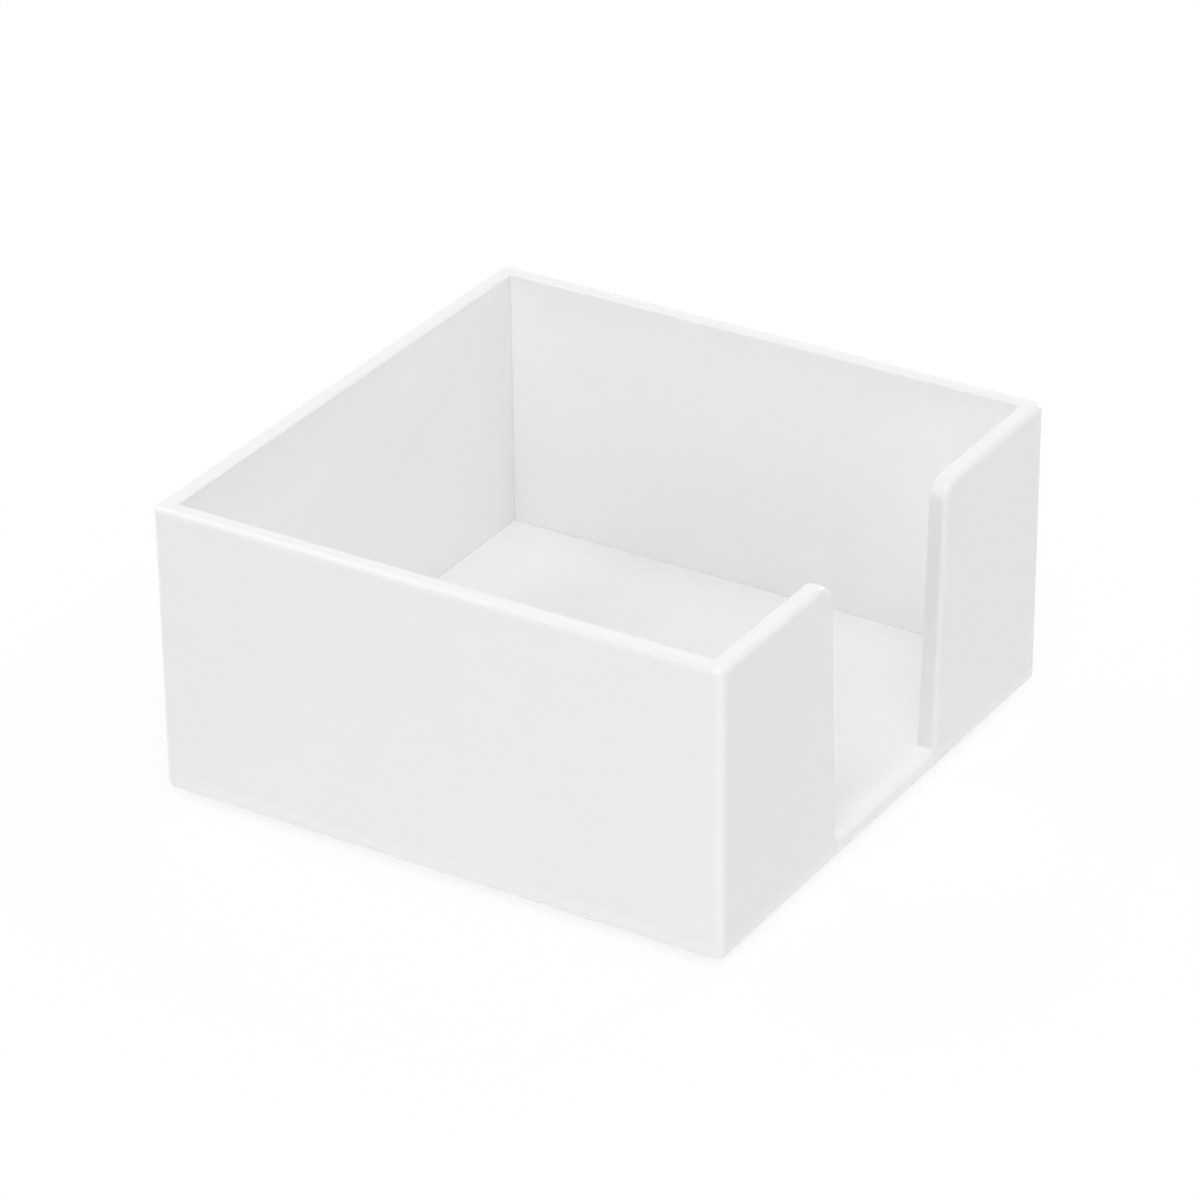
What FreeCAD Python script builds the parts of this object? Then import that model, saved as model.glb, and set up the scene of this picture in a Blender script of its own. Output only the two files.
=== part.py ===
# Open memo box in white opal acrylic: mitred walls cemented round a floor panel, with a finger slot
# in the front wall, on four thin silicone feet.
# Millimetres, +Z up. The origin is on the ground under the middle of the box. The slot faces -Y.
import FreeCAD, Part
import os
from FreeCAD import Vector

# Driving dimensions
outer_width = 100.0
outer_depth = 100.0
wall_height = 49.5
wall_thickness = 3.0
base_thickness = 4.0
slot_width_at_floor = 30.8
slot_width_at_rim = 34.8
shoulder_radius = 4.0
outer_edge_radius = 1.8
rim_edge_radius = 1.0
inner_edge_radius = 0.3
foot_diameter = 8.0
foot_height = 1.0
foot_edge_chamfer = 0.3
foot_inset = 11.0

# Levels and faces that the pieces share
underside = foot_height
floor_level = underside + base_thickness
rim_level = underside + wall_height
inner_width = outer_width - 2 * wall_thickness
inner_depth = outer_depth - 2 * wall_thickness
right_face = outer_width / 2
back_face = outer_depth / 2
inner_right = inner_width / 2
inner_back = inner_depth / 2

# The roundings stay within the sheet that they are cut from
edge_share = 0.6
rim_share = 0.35
thinner_sheet = min(wall_thickness, base_thickness)
edge_radius = min(outer_edge_radius, edge_share * thinner_sheet)
rim_radius = min(rim_edge_radius, rim_share * thinner_sheet)
inner_radius = min(inner_edge_radius, rim_share * thinner_sheet)
foot_chamfer = min(foot_edge_chamfer, edge_share * foot_height)

# How far a cutting solid runs past the face that it cuts
overrun = wall_thickness
same_place = 1e-4


def centred_box(width, depth, low, high):
    """A box centred on the vertical axis, from one level to another."""
    return Part.makeBox(width, depth, high - low, Vector(-width / 2, -depth / 2, low))


def prism(corners, sweep):
    """A straight prism over a flat polygon."""
    wire = Part.makePolygon(corners + corners[:1])
    return Part.Face(wire).extrude(sweep)


def edges_where(shape, test):
    """The edges whose bounding box passes a test."""
    return [edge for edge in shape.Edges if test(edge.BoundBox)]


def at(value, place):
    return abs(value - place) < same_place


def rounded_block():
    """The box's outer form, with its upright and bottom edges rounded into ball corners."""
    block = centred_box(outer_width, outer_depth, underside, rim_level)
    upright = edges_where(block, lambda box: at(box.ZLength, wall_height))
    bottom = edges_where(block, lambda box: at(box.ZMax, underside))
    return block.makeFillet(edge_radius, upright + bottom)


def slot_half_width(level):
    """The finger slot flares evenly from the floor to the rim."""
    climb = (level - floor_level) / (rim_level - floor_level)
    return (slot_width_at_floor + climb * (slot_width_at_rim - slot_width_at_floor)) / 2


def slot_space(low, high):
    """The flared space of the finger slot between two levels, run through the front wall."""
    low_half = slot_half_width(low)
    high_half = slot_half_width(high)
    front = -back_face - overrun
    corners = [
        Vector(-low_half, front, low),
        Vector(low_half, front, low),
        Vector(high_half, front, high),
        Vector(-high_half, front, high),
    ]
    return prism(corners, Vector(0, overrun + wall_thickness, 0))


def square_ring(block):
    """All the walls as one ring with square upper edges, open at the slot."""
    well = centred_box(inner_width, inner_depth, underside - overrun, rim_level + overrun)
    return block.cut(well).cut(slot_space(underside - overrun, rim_level + overrun))


def eased_ring(ring):
    """The ring with rounded shoulders beside the slot and with its rim and slot edges eased."""

    def on_rim(box):
        return at(box.ZMin, rim_level) and at(box.ZMax, rim_level)

    # Shoulders: the short edges across the rim on each side of the slot
    def across_rim_at_slot(box):
        return on_rim(box) and at(abs(box.XMin), slot_half_width(rim_level)) and at(box.XLength, 0)

    ring = ring.makeFillet(shoulder_radius, edges_where(ring, across_rim_at_slot))

    # The rim's rounding runs on over the shoulders and down the slot's edges, which are tangent to it
    def on_outer_back(box):
        return on_rim(box) and at(box.YMin, back_face)

    ring = ring.makeFillet(rim_radius, edges_where(ring, on_outer_back))

    def on_inner_rim(box):
        along_side = at(box.XLength, 0) and at(abs(box.XMin), inner_right)
        along_end = at(box.YLength, 0) and at(abs(box.YMin), inner_back)
        return on_rim(box) and (along_side or along_end)

    return ring.makeFillet(inner_radius, edges_where(ring, on_inner_rim))


def wall_ring(block):
    """The eased ring above the floor. Below it the slot's edges stay square, cemented to the tongue."""
    ring = square_ring(block)
    above_floor = centred_box(outer_width, outer_depth, floor_level, rim_level)
    below_floor = centred_box(outer_width, outer_depth, underside, floor_level)
    return eased_ring(ring).common(above_floor).fuse(ring.common(below_floor)).removeSplitter()


def wall_wedge(outer_a, outer_b, inner_b, inner_a):
    """The upright wedge that one wall fills, between the mitres at its two ends."""
    low = underside - overrun
    corners = [Vector(x, y, low) for x, y in (outer_a, outer_b, inner_b, inner_a)]
    return prism(corners, Vector(0, 0, rim_level + overrun - low))


def walls():
    """Each wall is cut from the ring along the mitres. The slot parts the front wall into cheeks."""
    ring = wall_ring(rounded_block())
    out_x = right_face + overrun
    out_y = back_face + overrun
    outer = [(-out_x, -out_y), (out_x, -out_y), (out_x, out_y), (-out_x, out_y)]
    inner = [
        (-inner_right, -inner_back),
        (inner_right, -inner_back),
        (inner_right, inner_back),
        (-inner_right, inner_back),
    ]
    sides = []
    for start in range(4):
        end = (start + 1) % 4
        wedge = wall_wedge(outer[start], outer[end], inner[end], inner[start])
        sides.append(ring.common(wedge))
    front, right, back, left = sides
    left_cheek, right_cheek = sorted(front.Solids, key=lambda solid: solid.CenterOfMass.x)
    return {
        "left_wall": left.Solids[0],
        "right_wall": right.Solids[0],
        "back_wall": back.Solids[0],
        "front_left_cheek": left_cheek,
        "front_right_cheek": right_cheek,
    }


def base_panel():
    """The floor, set between the walls, with a tongue that fills the foot of the slot."""
    floor = centred_box(inner_width, inner_depth, underside, floor_level)
    tongue = rounded_block().common(slot_space(underside, floor_level))
    panel = floor.fuse(tongue).removeSplitter()

    # The tongue's upper front edge is eased as the rim is
    def tongue_lip(box):
        return at(box.ZMin, floor_level) and at(box.YMin, -back_face) and at(box.YLength, 0)

    return panel.makeFillet(rim_radius, edges_where(panel, tongue_lip)).Solids[0]


def foot(x, y):
    """A thin silicone disc with its lower edge bevelled."""
    disc = Part.makeCylinder(foot_diameter / 2, foot_height, Vector(x, y, 0))
    lower_edge = edges_where(disc, lambda box: at(box.ZMax, 0))
    return disc.makeChamfer(foot_chamfer, lower_edge)


def feet():
    """One foot near each corner of the underside."""
    x = right_face - foot_inset
    y = back_face - foot_inset
    corners = {"front_left": (-x, -y), "front_right": (x, -y), "back_left": (-x, y), "back_right": (x, y)}
    return {"foot_" + corner: foot(*place) for corner, place in corners.items()}


def main():
    os.makedirs("parts", exist_ok=True)
    pieces = {"base_panel": base_panel(), **walls(), **feet()}
    for node, solid in pieces.items():
        solid.exportStep("parts/" + node + ".step")
        print(node, "valid" if solid.isValid() else "broken", round(solid.Volume, 2), "cubic mm")


main()
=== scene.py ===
# Looks of the open memo box: polished white opal acrylic on a plain white studio floor.
import math

import bpy
from mathutils import Matrix, Vector


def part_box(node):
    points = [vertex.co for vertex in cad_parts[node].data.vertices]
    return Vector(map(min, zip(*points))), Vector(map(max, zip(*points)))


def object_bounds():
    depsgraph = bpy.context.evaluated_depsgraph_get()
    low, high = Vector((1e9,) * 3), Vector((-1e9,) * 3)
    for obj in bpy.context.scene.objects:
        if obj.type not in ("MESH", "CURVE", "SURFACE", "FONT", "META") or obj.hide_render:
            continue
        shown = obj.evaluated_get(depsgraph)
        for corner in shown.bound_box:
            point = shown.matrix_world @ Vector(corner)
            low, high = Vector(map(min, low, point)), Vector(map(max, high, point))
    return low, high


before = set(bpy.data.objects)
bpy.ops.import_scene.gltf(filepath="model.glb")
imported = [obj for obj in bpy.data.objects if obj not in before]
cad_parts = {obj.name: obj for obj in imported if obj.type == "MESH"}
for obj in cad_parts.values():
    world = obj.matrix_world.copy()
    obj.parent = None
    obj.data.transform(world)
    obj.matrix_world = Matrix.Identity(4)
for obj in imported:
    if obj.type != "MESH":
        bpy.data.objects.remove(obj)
cad_low, cad_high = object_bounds()
middle = (cad_low + cad_high) / 2
millimetre = 0.001

# Camera, fitted to the photograph's edges: degrees, metres and millimetres of focal length
camera_azimuth = -58.298
camera_elevation = 28.656
camera_roll = -0.499
camera_distance = 0.8437
camera_target = Vector((-0.0009, 0.0007, 0.0251))
camera_lens = 162.65
camera_nearest = 0.01

# Soft boxes round the table: azimuth and elevation in degrees, size in metres, and level.
# A lamp of level 1 would by itself show white paper that faces it as white.
lamp_distance = 1.2
soft_boxes = {
    "top_light": (0, 90, 0.6, 0.11),
    "key_light": (-60, 60, 0.6, 0.32),
    "left_light": (-75, 20, 0.6, 0.15),
    "left_low_light": (-90, 10, 0.4, 0.10),
    "front_light": (0, 40, 1.0, 0.21),
    "front_right_light": (40, 35, 0.6, 0.09),
    "right_light": (80, 20, 0.4, 0.34),
    "back_light": (180, 35, 1.2, 0.53),
}

# The floor is white paper. Round the box, where its shadow lies, it shows nearly white, and white beyond:
# the two shares of white, and how far from the middle the first ends and the second begins, in metres.
floor_size = 6.0
floor_colour = (0.98, 0.98, 0.98, 1.0)
floor_white_share = (0.88, 1.0)
floor_white_reach = (0.07, 0.13)
white = (1.0, 1.0, 1.0, 1.0)
white_strength = 1.0

# Opal acrylic: grey levels of its body, the walls' inner faces, its outer edges, its rim, its slot ends
# and its cement lines, and the range of its mottle. The inner faces are painted a little brighter than the
# body, as painted light for the light that the real sheet lets through. The outer edges, the tongue's front
# and the rim are painted brighter, as painted glow for light that gathers there, and the slot ends are
# painted darker, as painted shade.
acrylic_body = 0.95
acrylic_inside_painted_light = 0.99
acrylic_edge_painted_glow = 1.0
acrylic_rim_painted_glow = 0.98
acrylic_slot_end_painted_shade = 0.875
acrylic_cement = 0.9
acrylic_mottle = 0.006
acrylic_ior = 1.49
acrylic_roughness = (0.06, 0.12)

# Widths over which those levels fade, and how squarely a face looks along the front wall to count as a slot
# end
lower_edge_width = 5.0 * millimetre
upright_edge_width = 2.0 * millimetre
rim_width = 0.8 * millimetre
lip_rounding = 1.0 * millimetre
cement_width = 0.2 * millimetre
slot_end_facing = (0.8, 0.97)

# Spacing of the sheet's mottle, of its wiping marks and of its faint waves, and the waves' height
mottle_spacing = 18 * millimetre
wiping_spacing = 6 * millimetre
waviness_spacing = 22 * millimetre
waviness_height = 0.01 * millimetre

# Silicone of the feet
silicone_body = (0.76, 0.80)
silicone_roughness = (0.42, 0.55)
silicone_spacing = 2.5 * millimetre
silicone_grain = 0.25 * millimetre
silicone_grain_height = 0.01 * millimetre

# Noise: the number of finer layers laid over it, and the part of its range that it mostly fills
plain_noise = 0.0
soft_noise = 2.0
fine_noise = 4.0
noise_range = (0.3, 0.7)

acrylic_nodes = [
    "base_panel", "left_wall", "right_wall", "back_wall", "front_left_cheek", "front_right_cheek",
]
foot_nodes = ["foot_front_left", "foot_front_right", "foot_back_left", "foot_back_right"]

# Faces of the box that the acrylic's edges, joints and cuts are placed from
outer_half = cad_high.x
inner_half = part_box("right_wall")[0].x
slot_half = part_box("front_right_cheek")[0].x
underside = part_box("base_panel")[0].z
floor_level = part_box("base_panel")[1].z
rim_level = cad_high.z

# The slot's ends lie well within half the inner width, and a hair keeps a face on its own side of a limit
slot_zone_half = inner_half / 2
hair = 0.02 * millimetre


def new_material(name):
    """A material with an empty node tree and its output node."""
    material = bpy.data.materials.new(name)
    material.use_nodes = True
    material.node_tree.nodes.clear()
    output = material.node_tree.nodes.new("ShaderNodeOutputMaterial")
    return material, material.node_tree, output


def feed(tree, value, socket):
    """Link a socket, or set a plain number."""
    if isinstance(value, (int, float)):
        socket.default_value = value
    else:
        tree.links.new(value, socket)


def calc(tree, operation, first, second=0.0):
    """One step of arithmetic on sockets or plain numbers."""
    node = tree.nodes.new("ShaderNodeMath")
    node.operation = operation
    feed(tree, first, node.inputs[0])
    feed(tree, second, node.inputs[1])
    return node.outputs[0]


def both(tree, first, second):
    """One where both masks are one."""
    return calc(tree, "MULTIPLY", first, second)


def either(tree, first, second):
    """One where one of two masks is one."""
    return calc(tree, "MAXIMUM", first, second)


def ramp(tree, value, start, end, low, high):
    """A smooth change from low at start to high at end."""
    node = tree.nodes.new("ShaderNodeMapRange")
    node.interpolation_type = "SMOOTHSTEP"
    node.inputs["From Min"].default_value = start
    node.inputs["From Max"].default_value = end
    node.inputs["To Min"].default_value = low
    node.inputs["To Max"].default_value = high
    tree.links.new(value, node.inputs["Value"])
    return node.outputs["Result"]


def fading(tree, distance, width):
    """One at no distance, fading to nothing over that width."""
    return ramp(tree, distance, 0.0, width, 1.0, 0.0)


def blend(tree, share, first, second):
    """A number that goes from first to second as share goes from 0 to 1."""
    node = tree.nodes.new("ShaderNodeMix")
    feed(tree, share, node.inputs["Factor"])
    feed(tree, first, node.inputs["A"])
    feed(tree, second, node.inputs["B"])
    return node.outputs["Result"]


def axes_of(tree, socket):
    """The X, Y and Z of a vector socket."""
    node = tree.nodes.new("ShaderNodeSeparateXYZ")
    tree.links.new(socket, node.inputs["Vector"])
    return node.outputs["X"], node.outputs["Y"], node.outputs["Z"]


def noise(tree, place, spacing, detail=soft_noise):
    """Noise from 0 to 1 whose spots lie about that far apart."""
    node = tree.nodes.new("ShaderNodeTexNoise")
    node.inputs["Scale"].default_value = 1.0 / spacing
    node.inputs["Detail"].default_value = detail
    tree.links.new(place, node.inputs["Vector"])
    return node.outputs["Fac"]


def varied(tree, place, spacing, limits, detail=soft_noise):
    """A number that drifts between two limits over the surface."""
    return ramp(tree, noise(tree, place, spacing, detail), *noise_range, *limits)


def bumped(tree, height, depth):
    """A surface normal from a height of 0 to 1 that stands for that depth."""
    node = tree.nodes.new("ShaderNodeBump")
    node.inputs["Distance"].default_value = depth
    tree.links.new(height, node.inputs["Height"])
    return node.outputs["Normal"]


def grey(tree, level):
    """A grey colour socket from a number."""
    node = tree.nodes.new("ShaderNodeCombineColor")
    for channel in ("Red", "Green", "Blue"):
        tree.links.new(level, node.inputs[channel])
    return node.outputs["Color"]


def surface(tree, output, level, roughness, normal):
    """A grey shader on the material's output."""
    shader = tree.nodes.new("ShaderNodeBsdfPrincipled")
    tree.links.new(grey(tree, level), shader.inputs["Base Color"])
    tree.links.new(roughness, shader.inputs["Roughness"])
    tree.links.new(normal, shader.inputs["Normal"])
    tree.links.new(shader.outputs["BSDF"], output.inputs["Surface"])
    return shader


def unsigned(tree, value):
    """A number without its sign, the same on both sides of the middle."""
    return calc(tree, "ABSOLUTE", value)


def from_face(tree, value, face):
    """How far a coordinate lies from a face."""
    return unsigned(tree, calc(tree, "SUBTRACT", value, face))


def from_pair(tree, value, face):
    """How far a coordinate lies from the nearer of two faces, one on each side of the middle."""
    return from_face(tree, unsigned(tree, value), face)


def inside(tree, x, y, z):
    """One on the inner faces of the walls, above the floor, which painted light brightens."""
    from_middle = calc(tree, "MAXIMUM", unsigned(tree, x), unsigned(tree, y))
    in_well = calc(tree, "LESS_THAN", from_middle, inner_half + hair)
    above_floor = calc(tree, "GREATER_THAN", z, floor_level + hair)
    return both(tree, in_well, above_floor)


def outer_edge_painted_glow(tree, x, y, z):
    """One on the box's lower and upright outer edges, fading into the faces beside them, which painted glow
    brightens.
    """
    side = from_pair(tree, x, outer_half)
    end = from_pair(tree, y, outer_half)
    inwards = calc(tree, "MINIMUM", side, end)
    from_lower = calc(tree, "MAXIMUM", inwards, calc(tree, "SUBTRACT", z, underside))
    from_upright = calc(tree, "MAXIMUM", side, end)
    lower = fading(tree, from_lower, lower_edge_width)
    upright = fading(tree, from_upright, upright_edge_width)
    return either(tree, lower, upright)


def rim(tree, z):
    """One on the rim's top, fading over its rounded edges, which painted glow brightens."""
    return fading(tree, calc(tree, "SUBTRACT", rim_level, z), rim_width)


def slot_lip_painted_glow(tree, x, y, z):
    """One on the front of the floor panel's tongue, the sheet's polished edge, which painted glow brightens.
    """
    in_slot = calc(tree, "LESS_THAN", unsigned(tree, x), slot_half)
    at_front = fading(tree, calc(tree, "ADD", y, outer_half), lip_rounding)
    below_floor = calc(tree, "LESS_THAN", z, floor_level + hair)
    return both(tree, at_front, both(tree, in_slot, below_floor))


def cement_line(tree, x, y, z):
    """One along the inner corners where two panels are cemented, but not across the slot's tongue."""
    side = from_pair(tree, x, inner_half)
    end = from_pair(tree, y, inner_half)
    level = from_face(tree, z, floor_level)
    nearest = calc(tree, "MINIMUM", side, end)
    next_nearest = calc(tree, "MINIMUM", calc(tree, "MAXIMUM", side, end), level)
    from_line = calc(tree, "MAXIMUM", nearest, next_nearest)
    beside_slot = calc(tree, "GREATER_THAN", unsigned(tree, x), slot_half)
    in_back_half = calc(tree, "GREATER_THAN", y, 0.0)
    return both(tree, fading(tree, from_line, cement_width), either(tree, beside_slot, in_back_half))


def slot_end_painted_shade(tree, x, y, normal):
    """One on the cheeks' ends, which face each other across the finger slot and which painted shade darkens.
    """
    along_wall = unsigned(tree, axes_of(tree, normal)[0])
    facing = ramp(tree, along_wall, *slot_end_facing, 0.0, 1.0)
    in_front_wall = calc(tree, "LESS_THAN", y, -inner_half)
    near_slot = calc(tree, "LESS_THAN", unsigned(tree, x), slot_zone_half)
    return both(tree, facing, both(tree, in_front_wall, near_slot))


def acrylic_level(tree, place, normal):
    """The sheet's grey level: mottled faces, inner faces brightened by painted light, edges and rim
    brightened by painted glow, slot ends darkened by painted shade, and duller cement lines.
    """
    x, y, z = axes_of(tree, place)
    mottle = varied(tree, place, mottle_spacing, (-acrylic_mottle / 2, acrylic_mottle / 2))
    # Painted light: the walls' inner faces are brightened for the light that the real sheet lets through.
    body = blend(tree, inside(tree, x, y, z), acrylic_body, acrylic_inside_painted_light)
    level = calc(tree, "ADD", body, mottle)
    # Painted glow: the rim's top is brightened.
    level = blend(tree, rim(tree, z), level, acrylic_rim_painted_glow)
    # Painted glow: the lower and upright outer edges and the tongue's front are brightened.
    edge = either(tree, outer_edge_painted_glow(tree, x, y, z), slot_lip_painted_glow(tree, x, y, z))
    level = blend(tree, edge, level, acrylic_edge_painted_glow)
    # Painted shade: the slot ends are darkened.
    level = blend(tree, slot_end_painted_shade(tree, x, y, normal), level, acrylic_slot_end_painted_shade)
    return blend(tree, cement_line(tree, x, y, z), level, acrylic_cement)


def opal_acrylic():
    """Polished opal sheet, faintly wavy, with the uneven gloss of a wiped surface."""
    material, tree, output = new_material("opal_acrylic")
    coordinates = tree.nodes.new("ShaderNodeTexCoord")
    place = coordinates.outputs["Object"]
    level = acrylic_level(tree, place, coordinates.outputs["Normal"])
    roughness = varied(tree, place, wiping_spacing, acrylic_roughness, fine_noise)
    waves = bumped(tree, noise(tree, place, waviness_spacing, plain_noise), waviness_height)
    shader = surface(tree, output, level, roughness, waves)
    shader.inputs["IOR"].default_value = acrylic_ior
    return material


def foot_silicone():
    """Satin silicone of the stick-on feet, faintly clouded and finely grained."""
    material, tree, output = new_material("foot_silicone")
    place = tree.nodes.new("ShaderNodeTexCoord").outputs["Object"]
    level = varied(tree, place, silicone_spacing, silicone_body)
    roughness = varied(tree, place, silicone_spacing, silicone_roughness, fine_noise)
    grain = bumped(tree, noise(tree, place, silicone_grain), silicone_grain_height)
    surface(tree, output, level, roughness, grain)
    return material


def dress(nodes, material):
    """Give CAD nodes their material."""
    for name in nodes:
        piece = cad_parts[name]
        piece.data.materials.clear()
        piece.data.materials.append(material)


def seen_ray(tree):
    """One for rays that show the background: camera, glossy and transmission rays."""
    path = tree.nodes.new("ShaderNodeLightPath")
    camera_or_glossy = either(tree, path.outputs["Is Camera Ray"], path.outputs["Is Glossy Ray"])
    return either(tree, camera_or_glossy, path.outputs["Is Transmission Ray"])


def white_share(tree):
    """The share of plain white in the floor's look, which grows away from the box."""
    coordinates = tree.nodes.new("ShaderNodeTexCoord")
    from_middle = tree.nodes.new("ShaderNodeVectorMath")
    from_middle.operation = "LENGTH"
    tree.links.new(coordinates.outputs["Object"], from_middle.inputs[0])
    return ramp(tree, from_middle.outputs["Value"], *floor_white_reach, *floor_white_share)


def floor_paper():
    """White paper that takes the box's shadow, mixed with plain white where it is seen."""
    material, tree, output = new_material("studio_floor")
    diffuse = tree.nodes.new("ShaderNodeBsdfDiffuse")
    diffuse.inputs["Color"].default_value = floor_colour
    glow = tree.nodes.new("ShaderNodeEmission")
    glow.inputs["Color"].default_value = white
    glow.inputs["Strength"].default_value = white_strength
    mix = tree.nodes.new("ShaderNodeMixShader")
    tree.links.new(both(tree, seen_ray(tree), white_share(tree)), mix.inputs["Fac"])
    tree.links.new(diffuse.outputs["BSDF"], mix.inputs[1])
    tree.links.new(glow.outputs["Emission"], mix.inputs[2])
    tree.links.new(mix.outputs["Shader"], output.inputs["Surface"])
    return material


def make_floor():
    """A plain pale floor under the box."""
    bpy.ops.mesh.primitive_plane_add(size=floor_size, location=(0.0, 0.0, 0.0))
    floor = bpy.context.object
    floor.name = "studio_floor"
    floor.data.materials.append(floor_paper())


def make_surround():
    """A dark studio whose walls show white in the picture and in reflections."""
    world = bpy.data.worlds.new("studio_surround")
    bpy.context.scene.world = world
    world.use_nodes = True
    tree = world.node_tree
    tree.nodes.clear()
    output = tree.nodes.new("ShaderNodeOutputWorld")
    seen = tree.nodes.new("ShaderNodeBackground")
    seen.inputs["Color"].default_value = white
    tree.links.new(seen_ray(tree), seen.inputs["Strength"])
    tree.links.new(seen.outputs["Background"], output.inputs["Surface"])


def direction(azimuth, elevation):
    """Unit vector from the box towards a place round the table. Azimuth 0 is in front of the slot."""
    turn = math.radians(azimuth)
    rise = math.radians(elevation)
    flat = math.cos(rise)
    return Vector((math.sin(turn) * flat, -math.cos(turn) * flat, math.sin(rise)))


def soft_box(name, azimuth, elevation, size, level):
    """A square lamp aimed at the box. Its power gives that level on a surface that faces it there."""
    lamp = bpy.data.lights.new(name, "AREA")
    lamp.shape = "SQUARE"
    lamp.size = size
    lamp.energy = level * (math.pi * lamp_distance) ** 2
    holder = bpy.data.objects.new(name, lamp)
    bpy.context.scene.collection.objects.link(holder)
    towards_lamp = direction(azimuth, elevation)
    holder.location = middle + lamp_distance * towards_lamp
    holder.rotation_euler = (-towards_lamp).to_track_quat("-Z", "Y").to_euler()


def make_camera():
    """The photograph's viewing angle."""
    back = direction(camera_azimuth, camera_elevation)
    data = bpy.data.cameras.new("photo_camera")
    data.lens = camera_lens
    data.clip_start = camera_nearest
    camera = bpy.data.objects.new("photo_camera", data)
    bpy.context.scene.collection.objects.link(camera)
    turn = (-back).to_track_quat("-Z", "Y").to_matrix().to_4x4()
    roll = Matrix.Rotation(math.radians(camera_roll), 4, "Z")
    camera.matrix_world = Matrix.Translation(camera_target + camera_distance * back) @ turn @ roll
    bpy.context.scene.camera = camera


dress(acrylic_nodes, opal_acrylic())
dress(foot_nodes, foot_silicone())
make_floor()
make_surround()
for lamp_name, setting in soft_boxes.items():
    soft_box(lamp_name, *setting)
make_camera()
bpy.context.scene.view_settings.view_transform = "Standard"
